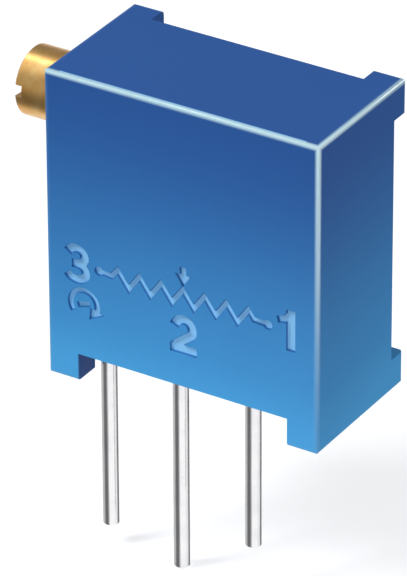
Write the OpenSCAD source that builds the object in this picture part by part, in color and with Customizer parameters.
// Multiturn trimmer potentiometer with the adjusting screw on its left side.
// Millimetres. +X runs to the right across the marked face, +Y to the back, +Z up.
// The origin lies on the middle lead's axis, in the plane of the board that the feet stand on.

/* [Body] */
// Width of the body, left to right
body_w = 9.4; // [9.2:0.1:12]
// Depth from the marked face to the back of the corner pads
body_d = 5.0; // [4.9:0.1:7]
// Height from the board to the top
body_h = 10.3; // [10.2:0.1:13]
// Radius of the outer edges
edge_r = 0.14; // [0.1:0.02:0.3]
// Thickness of the wall behind the marked face
face_wall = 0.5; // [0.4:0.05:0.6]
// Thickness of the side walls
side_wall = 0.6; // [0.5:0.05:0.8]
// Thickness of the top wall
top_wall = 0.5; // [0.4:0.05:0.6]

/* [Feet and corner pads] */
// Height of the feet, which is the gap between the body and the board
foot_h = 0.95; // [0.6:0.05:1.2]
// Width of each foot
foot_w = 1.05; // [0.8:0.05:1.3]
// Depth of the two left feet; the right foot runs the whole depth
foot_d = 0.95; // [0.6:0.05:1.4]
// Width of the pads at the back corners
pad_w = 1.05; // [0.8:0.05:1.3]
// Height of the pads at the back corners
pad_h = 1.1; // [0.8:0.05:1.4]
// How far the pads stand out behind the back
pad_d = 0.7; // [0.4:0.05:0.8]

/* [Leads] */
// Radius of the lead wire
lead_r = 0.255; // [0.2:0.005:0.3]
// Distance between neighbouring leads
lead_pitch = 2.54; // [2.4:0.01:2.7]
// Row of the leads behind the marked face
lead_row = 1.27; // [1.2:0.01:1.4]
// Left lead's axis from the left side of the body
lead_inset = 1.35; // [1.2:0.05:1.8]
// Length of the right lead, terminal 1, below the board plane
lead_1_length = 4.75; // [3:0.05:8]
// Length of the middle lead, terminal 2, below the board plane
lead_2_length = 6.3; // [3:0.05:8]
// Length of the left lead, terminal 3, below the board plane
lead_3_length = 5.6; // [3:0.05:8]
// Radius of the two bends in each lead, on the wire's axis
bend_r = 0.4; // [0.35:0.01:0.42]
// Length of lead that is soldered to the plate
solder_run = 0.9; // [0.7:0.05:0.95]
// Bevel at the lead's cut end
lead_bevel = 0.08; // [0.04:0.01:0.12]

/* [Adjusting screw] */
// Radius of the slotted head
head_r = 1.095; // [1:0.005:1.15]
// How far the head stands out of the body
head_out = 1.25; // [1:0.05:1.8]
// Width of the driver slot
slot_w = 0.38; // [0.3:0.02:0.6]
// Depth of the driver slot
slot_d = 0.26; // [0.2:0.02:0.6]
// Angle of the slot about the screw, from the level
slot_turn = -5; // [-90:1:90]
// Bevel round the head's outer edge
head_bevel = 0.06; // [0.03:0.01:0.1]
// Screw axis below the top of the body
screw_drop = 1.3; // [1.25:0.01:1.4]
// Screw axis behind the marked face
screw_back = 1.4; // [1.35:0.01:1.45]
// Radius of the screw's shaft
shaft_r = 0.66; // [0.64:0.01:0.7]
// Radius of the plain journal at the screw's inner end
journal_r = 0.4; // [0.3:0.01:0.45]
// Depth of the clip's groove in the shaft
groove_d = 0.24; // [0.2:0.01:0.26]

/* [Worm and wheel] */
// Pitch diameter of the worm wheel
wheel_d = 6; // [5.76:0.02:6.04]
// Number of teeth on the worm wheel
wheel_teeth = 36; // [32:1:36]
// Pitch radius of the single start worm
worm_r = 0.5; // [0.46:0.01:0.52]
// Width of the worm wheel's teeth
wheel_w = 1.0; // [0.8:0.05:1.1]
// Play along the screw between worm thread and wheel teeth
mesh_play = 0.04; // [0.02:0.01:0.06]
// Thickness of the wheel's web
web_t = 0.5; // [0.4:0.05:0.7]
// Radius of the pivot that the wheel turns on
pivot_r = 0.6; // [0.5:0.02:0.7]

/* [Fits] */
// Radial clearance of shafts in their bores
run_fit = 0.03; // [0.02:0.005:0.05]
// Gap beside pieces that only lie in their seat
seat_fit = 0.03; // [0.02:0.005:0.05]
// Smallest gap between a sliding face and its neighbour
face_fit = 0.05; // [0.03:0.01:0.08]
// Gap between the wiper's toes and the print, and round the seal and the stakes
touch_fit = 0.01; // [0.005:0.001:0.015]

/* [Seal and clip] */
// Depth of the seal's recess in the left side
seal_seat_d = 0.5; // [0.4:0.02:0.55]
// Radius of the seal's recess
seal_seat_r = 0.98; // [0.96:0.01:1]
// Thickness of the retaining clip
clip_t = 0.2; // [0.15:0.01:0.25]
// Half the width of the retaining clip
clip_half_w = 0.85; // [0.75:0.01:0.9]

/* [Element] */
// Thickness of the ceramic plate
plate_t = 0.635; // [0.5:0.005:0.7]
// Front of the ceramic plate behind the marked face
plate_back = 2.7; // [2.68:0.01:2.8]
// Thickness of the printed tracks
film_t = 0.05; // [0.03:0.005:0.06]
// Mean radius of the resistance track
track_r = 2.45; // [2.3:0.01:2.5]
// Width of the resistance track
track_w = 0.4; // [0.3:0.01:0.5]
// Angle that the resistance track covers
track_arc = 280; // [260:1:300]
// How much smaller the collector ring's radius is than the resistance track's
ring_step = 0.75; // [0.7:0.01:0.8]
// Width of the collector ring and of the conductors
conductor_w = 0.5; // [0.4:0.01:0.6]
// Width of the pad that each lead is soldered to
solder_pad_w = 0.8; // [0.7:0.01:1]

/* [Wiper] */
// Thickness of the wiper's sheet
wiper_t = 0.08; // [0.06:0.005:0.1]
// Radius of the wiper's plate
wiper_plate_r = 1.35; // [1.3:0.01:1.38]
// Width of each wiper finger
finger_w = 0.24; // [0.18:0.01:0.3]
// Gap between the two fingers of a pair
finger_gap = 0.12; // [0.08:0.01:0.2]
// Radius of the stakes that hold the wiper
stake_r = 0.13; // [0.1:0.01:0.16]
// Distance of the stakes from the wheel's axis
stake_place = 0.95; // [0.85:0.01:1]

/* [Potting] */
// Front edge of the potting well behind the marked face
well_back = 0.75; // [0.7:0.01:0.8]
// How far the potting lies below the housing's edges
potting_sink = 0.1; // [0.05:0.01:0.15]
// Thickness of the shelf between the potting and the wheel
shelf_t = 0.25; // [0.2:0.01:0.28]

/* [Hidden] */
$fn = 64;
eps = 0.01;

// Faces of the body
left = -(lead_inset + lead_pitch);
right = left + body_w;
front = -lead_row;
back = front + body_d;
rear_face = back - pad_d;

// Screw and wheel: the worm's pitch line touches the wheel's pitch circle at the wheel's top
screw_y = front + screw_back;
screw_z = body_h - screw_drop;
wheel_r = wheel_d / 2;
gear_module = wheel_d / wheel_teeth;
dedendum = 1.2 * gear_module;
wheel_tip_r = wheel_r + gear_module;
wheel_root_r = wheel_r - dedendum;
wheel_x = (left + right) / 2;
wheel_z = screw_z - worm_r - wheel_r;
thread_pitch = PI * gear_module;
worm_tip_r = worm_r + gear_module;
worm_root_r = worm_r - dedendum;
lead_angle = atan(thread_pitch / (2 * PI * worm_r));
worm_turns = 8;
flank_angle = 20;

// Stations along the screw, from the left side inwards
bearing_l = 0.75;
inner_bearing_l = 0.5;
clip_x = left + seal_seat_d + bearing_l;
clip_slot_l = clip_t + 2 * seat_fit;
boss_l = seal_seat_d + bearing_l + clip_slot_l + inner_bearing_l;
boss_wall = 0.1;
boss_half = seal_seat_r + boss_wall;
worm_end = wheel_x + worm_turns * thread_pitch / 2;
end_boss_l = 1.8;
end_wall = 0.8;
journal_end = right - end_wall;

// Layers from the marked face to the back
chamber_y = front + face_wall;
plate_y = front + plate_back;
film_y = plate_y - film_t;
ring_r = track_r - ring_step;
plate_rear = plate_y + plate_t;
ledge_w = 0.3;
wheel_front = screw_y - wheel_w / 2;
wheel_rear = screw_y + wheel_w / 2;
stage_rise = 0.25;
stage_y = wheel_rear + stage_rise;
pivot_sink = 0.1;
pivot_end = stage_y - pivot_sink;
hub_r = wiper_plate_r + face_fit;
wiper_y = stage_y + wiper_t;
toe_y = film_y - touch_fit;
solder_film = 0.02;
upper_lead_y = film_y - solder_film - lead_r;

// Levels from the board upwards
well_z = foot_h + potting_sink;
lead_bend_z = well_z + bend_r;
shelf_z = lead_bend_z + bend_r + face_fit;
shelf_top = shelf_z + shelf_t;
solder_margin = 0.2;
solder_top = shelf_z + solder_margin + solder_run;
pad_top = solder_top + solder_margin;
arc_gap = (360 - track_arc) / 2;

// Rectangle with true arcs at its corners
module rounded_rect(w, h, r) {
    translate([r, 0])
        square([w - 2 * r, h]);
    translate([0, r])
        square([w, h - 2 * r]);
    for (x = [r, w - r], y = [r, h - r])
        translate([x, y])
            circle(r);
}

// Block whose twelve edges are rounded: three rounded prisms, one along each axis
module rounded_block(w, d, h, r) {
    intersection() {
        linear_extrude(h)
            rounded_rect(w, d, r);
        translate([0, d, 0])
            rotate([90, 0, 0])
                linear_extrude(d)
                    rounded_rect(w, h, r);
        rotate([90, 0, 90])
            linear_extrude(w)
                rounded_rect(d, h, r);
    }
}

// Box between two opposite corners
module box(a, b) {
    translate(a)
        cube(b - a);
}

// Round bar along +X, from station x for length l, on the screw's axis
module bar_x(x, l, r) {
    translate([x, screw_y, screw_z])
        rotate([0, 90, 0])
            cylinder(h = l, r = r);
}

// Sets a flat shape drawn in X and Z on the wheel's axis, at depth y, with thickness t to the back
module on_wheel_axis(y, t) {
    translate([wheel_x, y + t, wheel_z])
        rotate([90, 0, 0])
            linear_extrude(t)
                children();
}

// Ring sector, symmetric about the top, as thick as a printed film
module sector(r_mean, w, arc) {
    rotate([0, 0, 90 - arc / 2])
        rotate_extrude(angle = arc)
            translate([r_mean - w / 2, 0])
                square([w, film_t]);
}

// Moulded housing: rounded block, feet and corner pads, wheel chamber, screw bosses and wheel pivot
module housing() {
    color([0.16, 0.38, 0.72]) {
        difference() {
            translate([left, front, 0])
                rounded_block(body_w, body_d, body_h, edge_r);
            under_gaps();
            back_recess();
            chamber();
            screw_bores();
            clip_slot();
        }
        translate([wheel_x, pivot_end, wheel_z])
            rotate([90, 0, 0])
                cylinder(h = pivot_end - chamber_y + eps, r = pivot_r);
    }
}

// Space between the feet, open under the body
module under_gaps() {
    box([left + foot_w, front - eps, -eps], [right - foot_w, back + eps, foot_h]);
    box([left - eps, front + foot_d, -eps], [left + foot_w + eps, back - foot_d, foot_h]);
}

// What is cut away behind the rear face, leaving the four corner pads
module back_recess() {
    box([left + pad_w, rear_face, -eps], [right - pad_w, back + eps, body_h + eps]);
    box([left - eps, rear_face, pad_h], [right + eps, back + eps, body_h - pad_h]);
}

// Wheel chamber, plate seat and potting well, with the two screw bosses left standing
module chamber() {
    inner_left = left + side_wall;
    inner_right = right - side_wall;
    difference() {
        box([inner_left + ledge_w, chamber_y, shelf_top],
            [inner_right - ledge_w, plate_y + eps, body_h - top_wall]);
        box([left, front, screw_z - boss_half], [left + boss_l, back, body_h]);
        box([right - end_boss_l, front, screw_z - boss_half], [right, back, body_h]);
    }
    // the opening behind the shelf's edge lets the leads up to the plate
    box([inner_left + ledge_w, upper_lead_y - lead_r - face_fit, shelf_z - eps],
        [inner_right - ledge_w, plate_y + eps, shelf_top + eps]);
    difference() {
        box([inner_left, plate_y, shelf_z - eps], [inner_right, rear_face, body_h - top_wall]);
        upper_corners(0);
    }
    box([inner_left, front + well_back, foot_h - eps], [inner_right, rear_face, shelf_z]);
}

// Solid corners that carry the upper pads, from the plate's front to the back. A gap makes them
// larger for the piece that lies beside them.
module upper_corners(gap) {
    for (x = [left, right - pad_w - gap])
        translate([x, plate_y - eps, body_h - pad_h - gap])
            cube([pad_w + gap, body_d, pad_h + gap]);
}

// Seal recess and bearing on the left, blind bearing on the right
module screw_bores() {
    bar_x(left - eps, seal_seat_d + eps, seal_seat_r);
    bar_x(left, boss_l + eps, shaft_r + run_fit);
    bar_x(right - end_boss_l - eps, journal_end + face_fit - right + end_boss_l + eps,
        journal_r + run_fit);
}

// Slot in the left boss that the clip is pushed into from the back
module clip_slot() {
    box([clip_x - seat_fit, screw_y - clip_half_w - seat_fit, screw_z - clip_half_w - seat_fit],
        [clip_x + clip_t + seat_fit, plate_y + eps, screw_z + clip_half_w + seat_fit]);
}

// Cast potting: a slab behind the plate and a slab in the well, through which the leads pass
module potting() {
    color([0.13, 0.30, 0.58])
        difference() {
            union() {
                box([left + side_wall, plate_rear, well_z],
                    [right - side_wall, rear_face - potting_sink, body_h - top_wall]);
                box([left + side_wall, front + well_back, well_z],
                    [right - side_wall, plate_rear + eps, shelf_z]);
            }
            upper_corners(0);
            for (i = [-1, 0, 1])
                lead(i * lead_pitch, 0);
        }
}

// Turned screw: slotted head, shaft with the clip's groove, worm and end journal
module adjusting_screw() {
    groove_r = shaft_r - groove_d;
    groove_a = clip_x - face_fit;
    groove_b = clip_x + clip_t + face_fit;
    stations = [
        [left - head_out, 0], [left - head_out, head_r - head_bevel],
        [left - head_out + head_bevel, head_r], [left - face_fit, head_r], [left - face_fit, shaft_r],
        [groove_a, shaft_r], [groove_a, groove_r], [groove_b, groove_r], [groove_b, shaft_r],
        [left + boss_l, shaft_r], [left + boss_l, worm_root_r],
        [worm_end, worm_root_r], [worm_end, journal_r], [journal_end, journal_r], [journal_end, 0]];
    color([0.84, 0.68, 0.36]) {
        difference() {
            translate([0, screw_y, screw_z])
                rotate([0, 90, 0])
                    rotate_extrude()
                        polygon([for (s = stations) [s[1], s[0]]]);
            translate([left - head_out, screw_y, screw_z])
                rotate([slot_turn, 0, 0])
                    cube([2 * slot_d, 3 * head_r, slot_w], center = true);
        }
        worm_thread();
    }
}

// Right hand worm thread: a trapezoid carried round the screw's axis, with its crest at the
// bottom of the worm exactly over the wheel's axis
module worm_thread() {
    steps = 24;
    runout_turns = 0.8;
    foot_sink = 0.03;
    half_pitch_w = (thread_pitch / 2 - mesh_play) / 2;
    crest = half_pitch_w - gear_module * tan(flank_angle);
    base = half_pitch_w + dedendum * tan(flank_angle);
    foot_r = worm_root_r - foot_sink;
    section = [[-base, foot_r], [-crest, worm_tip_r], [crest, worm_tip_r], [base, foot_r]];
    half_turns = (worm_turns - runout_turns) / 2;
    n = round(2 * half_turns * steps);
    points = [for (i = [0 : n]) for (p = section)
        let (a = (i / steps - half_turns) * 360)
        [wheel_x + a / 360 * thread_pitch + p[0],
            screw_y + p[1] * sin(a), screw_z - p[1] * cos(a)]];
    sides = [for (i = [0 : n - 1]) for (k = [0 : 3])
        let (m = (k + 1) % 4)
        [4 * i + k, 4 * i + m, 4 * i + 4 + m, 4 * i + 4 + k]];
    ends = [[3, 2, 1, 0], [4 * n, 4 * n + 1, 4 * n + 2, 4 * n + 3]];
    polyhedron(points, concat(sides, ends));
}

// Rubber ring round the shaft in its recess
module shaft_seal() {
    ring_section = (seal_seat_r - shaft_r) / 2 - touch_fit;
    color([0.15, 0.15, 0.16])
        translate([left + seal_seat_d / 2, screw_y, screw_z])
            rotate([0, 90, 0])
                rotate_extrude()
                    translate([(seal_seat_r + shaft_r) / 2, 0])
                        circle(ring_section);
}

// Spring steel plate with a slot that straddles the groove of the screw
module retaining_clip() {
    notch_r = shaft_r - groove_d + run_fit;
    color([0.62, 0.63, 0.66])
        difference() {
            box([clip_x, screw_y - clip_half_w, screw_z - clip_half_w],
                [clip_x + clip_t, plate_y - seat_fit, screw_z + clip_half_w]);
            bar_x(clip_x - eps, clip_t + 2 * eps, notch_r);
            box([clip_x - eps, screw_y - clip_half_w - eps, screw_z - notch_r],
                [clip_x + clip_t + eps, screw_y, screw_z + notch_r]);
        }
}

// Point on an involute of base circle r_base, at radius r, turned back by the angle a
function involute(r_base, r, a) =
    let (t = sqrt(max(0, r * r / (r_base * r_base) - 1)) * 180 / PI,
        turn = t - atan(t * PI / 180) - a)
    [r * sin(turn), r * cos(turn)];

// One skew involute tooth at the top of the wheel, seated in the root cylinder. Its outline turns
// with the worm's lead angle from the front of the wheel to its back.
module wheel_tooth() {
    base_r = wheel_r * cos(flank_angle);
    foot_sink = 0.05;
    foot_r = wheel_root_r - foot_sink;
    radii = [foot_r, base_r, wheel_r, wheel_tip_r];
    half_tooth = (tan(flank_angle) * 180 / PI - flank_angle) + 90 / wheel_teeth;
    flank = [for (r = radii) involute(base_r, max(r, base_r), half_tooth) * (r / max(r, base_r))];
    outline = concat(flank, [for (k = [3 : -1 : 0]) [-flank[k][0], flank[k][1]]]);
    layers = 2;
    face_turn = wheel_w * tan(lead_angle) / wheel_r * 180 / PI;
    points = [for (j = [0 : layers]) for (p = outline)
        let (c = (j / layers - 0.5) * face_turn)
        [p[0] * cos(c) + p[1] * sin(c), j / layers * wheel_w, p[1] * cos(c) - p[0] * sin(c)]];
    sides = [for (j = [0 : layers - 1]) for (i = [0 : 7])
        let (k = (i + 1) % 8)
        [j * 8 + i, j * 8 + 8 + i, j * 8 + 8 + k, j * 8 + k]];
    ends = [[for (i = [0 : 7]) i], [for (i = [7 : -1 : 0]) layers * 8 + i]];
    polyhedron(points, concat(sides, ends));
}

// Moulded rotor: skew teeth, web with a recess on both sides, hub, wiper stage and stakes
module worm_wheel() {
    rim_t = 0.35;
    rim_r = wheel_root_r - rim_t;
    recess = (wheel_w - web_t) / 2;
    stake_rise = 0.1;
    color([0.93, 0.92, 0.88]) {
        difference() {
            union() {
                on_wheel_axis(wheel_front, wheel_w)
                    circle(wheel_root_r);
                for (i = [0 : wheel_teeth - 1])
                    translate([wheel_x, wheel_front, wheel_z])
                        rotate([0, (i + 0.5) * 360 / wheel_teeth, 0])
                            wheel_tooth();
                on_wheel_axis(chamber_y + face_fit, stage_y - chamber_y - face_fit)
                    circle(hub_r);
            }
            for (y = [wheel_front - eps, wheel_rear - recess])
                on_wheel_axis(y, recess + eps)
                    difference() {
                        circle(rim_r);
                        circle(hub_r);
                    }
            on_wheel_axis(chamber_y, stage_y - chamber_y + eps)
                circle(pivot_r + run_fit);
        }
        for (s = [-1, 1])
            on_wheel_axis(stage_y - eps, wiper_t + stake_rise + eps)
                translate([s * stake_place, 0])
                    circle(stake_r);
    }
}

// Sheet metal wiper: plate on the stakes, a pair of fingers up to the track, a pair down to the ring
module wiper_spring() {
    outer_root = 1;
    inner_root = 0.75;
    root_lap = 0.1;
    pair_w = 2 * finger_w + finger_gap;
    color([0.80, 0.72, 0.52]) {
        on_wheel_axis(stage_y, wiper_t)
            difference() {
                circle(wiper_plate_r);
                circle(pivot_r / 2);
                for (s = [-1, 1])
                    translate([s * stake_place, 0])
                        circle(stake_r + touch_fit);
                translate([-pair_w / 2 - finger_gap, -wiper_plate_r - eps])
                    square([pair_w + 2 * finger_gap, wiper_plate_r - inner_root]);
            }
        for (s = [-1, 1]) {
            finger(s, 1, outer_root, track_r);
            finger(s, -1, inner_root - root_lap, ring_r);
        }
    }
}

// One finger: side s of its pair, direction d up or down, from radius r_root to its toe at r_toe.
// The strip rises from the plate to the print and ends in a rounded toe.
module finger(s, d, r_root, r_toe) {
    toe_r = 0.1;
    knee = r_root + 0.25;
    lap = 0.05;
    translate([wheel_x + s * (finger_w + finger_gap) / 2 - finger_w / 2, 0, wheel_z])
        rotate([90, 0, 90])
            linear_extrude(finger_w) {
                translate([toe_y - toe_r, d * r_toe])
                    circle(toe_r);
                polygon([[stage_y, d * r_root], [wiper_y, d * r_root], [wiper_y, d * knee],
                    [toe_y - toe_r + wiper_t, d * (r_toe - lap)], [toe_y - toe_r, d * r_toe],
                    [stage_y, d * (knee - lap)]]);
            }
}

// Ceramic plate on its ledges, with its upper corners cut away for the housing's
module substrate() {
    color([0.94, 0.94, 0.91])
        difference() {
            box([left + side_wall + seat_fit, plate_y, shelf_z],
                [right - side_wall - seat_fit, plate_rear, body_h - top_wall - seat_fit]);
            upper_corners(seat_fit);
        }
}

// Printed resistive arc on the plate's front
module resistance_track() {
    color([0.12, 0.12, 0.13])
        translate([wheel_x, plate_y, wheel_z])
            rotate([90, 0, 0])
                sector(track_r, track_w, track_arc);
}

// Printed collector ring and its tail to the middle lead
module collector_track() {
    tail_top = -sqrt(max(0, ring_r * ring_r - wheel_x * wheel_x));
    color([0.72, 0.72, 0.70])
        on_wheel_axis(film_y, film_t) {
            difference() {
                circle(ring_r + conductor_w / 2);
                circle(ring_r - conductor_w / 2);
            }
            translate([-wheel_x - solder_pad_w / 2, shelf_z + seat_fit - wheel_z])
                square([solder_pad_w, pad_top - shelf_z - seat_fit]);
            translate([-wheel_x - conductor_w / 2, shelf_z + seat_fit - wheel_z])
                square([conductor_w, tail_top - shelf_z - seat_fit + wheel_z]);
        }
}

// Printed conductor from an end of the arc to its outer lead; side 1 is right, -1 is left.
// Its outline runs round the solder pad and narrows to the end of the arc.
module termination(side) {
    end_angle = 7;
    shoulder = 0.4;
    pad_u = lead_pitch - side * wheel_x;
    low = shelf_z + seat_fit - wheel_z;
    top = pad_top - wheel_z;
    inner = pad_u - solder_pad_w / 2;
    outer = pad_u + solder_pad_w / 2;
    function on_arc(r, a) = [r * sin(a), -r * cos(a)];
    outline = [[outer, low], [inner, low], [inner, top - shoulder],
        on_arc(track_r + track_w / 2, arc_gap - end_angle),
        on_arc(track_r - track_w / 2, arc_gap - end_angle),
        on_arc(track_r - track_w / 2, arc_gap), on_arc(track_r + track_w / 2, arc_gap),
        [outer, top]];
    color([0.72, 0.72, 0.70])
        on_wheel_axis(film_y, film_t)
            polygon([for (p = outline) [side * p[0], p[1]]]);
}

module termination_1() {
    termination(1);
}

module termination_3() {
    termination(-1);
}

// Round wire at x: straight down to its end below the board, set back by two bends to lie on the
// plate's front. A length of 0 ends it at the board plane.
module lead(x, length) {
    step = upper_lead_y;
    bevel = length > 0 ? lead_bevel : 0;
    translate([x, 0, 0]) {
        translate([0, 0, -length])
            rotate_extrude()
                polygon([[0, 0], [lead_r - bevel, 0], [lead_r, bevel], [lead_r, length + well_z],
                    [0, length + well_z]]);
        translate([0, bend_r, well_z])
            rotate([0, 90, 0])
                rotate([0, 0, 180])
                    rotate_extrude(angle = 90)
                        translate([bend_r, 0])
                            circle(lead_r);
        translate([0, bend_r, lead_bend_z])
            rotate([-90, 0, 0])
                cylinder(h = step - 2 * bend_r, r = lead_r);
        translate([0, step - bend_r, lead_bend_z + bend_r])
            rotate([0, 90, 0])
                rotate_extrude(angle = 90)
                    translate([bend_r, 0])
                        circle(lead_r);
        translate([0, step, lead_bend_z + bend_r])
            cylinder(h = solder_top - lead_bend_z - bend_r, r = lead_r);
    }
}

module lead_1() {
    color([0.86, 0.86, 0.86])
        lead(lead_pitch, lead_1_length);
}

module lead_2() {
    color([0.86, 0.86, 0.86])
        lead(0, lead_2_length);
}

module lead_3() {
    color([0.86, 0.86, 0.86])
        lead(-lead_pitch, lead_3_length);
}

// Solder fillet at x: a spindle round the lead's upper end, cut flat against its pad, with a thin
// film of solder left between the lead and the pad
module solder(x) {
    end_gap = 0.05;
    half_l = solder_run / 2 - end_gap;
    swell = 0.12;
    rim = lead_r + solder_film;
    mid_z = solder_top - end_gap - half_l;
    color([0.75, 0.76, 0.78])
        difference() {
            translate([x, upper_lead_y, mid_z])
                rotate_extrude()
                    polygon([[lead_r, -half_l], [rim, -half_l], [lead_r + swell, -half_l / 3],
                        [lead_r + swell, half_l / 3], [rim, half_l], [lead_r, half_l]]);
            box([x - solder_pad_w, film_y, mid_z - solder_run],
                [x + solder_pad_w, plate_rear, mid_z + solder_run]);
        }
}

module solder_1() {
    solder(lead_pitch);
}

module solder_2() {
    solder(0);
}

module solder_3() {
    solder(-lead_pitch);
}

housing();
potting();
adjusting_screw();
shaft_seal();
retaining_clip();
worm_wheel();
wiper_spring();
substrate();
resistance_track();
collector_track();
termination_1();
termination_3();
lead_1();
lead_2();
lead_3();
solder_1();
solder_2();
solder_3();
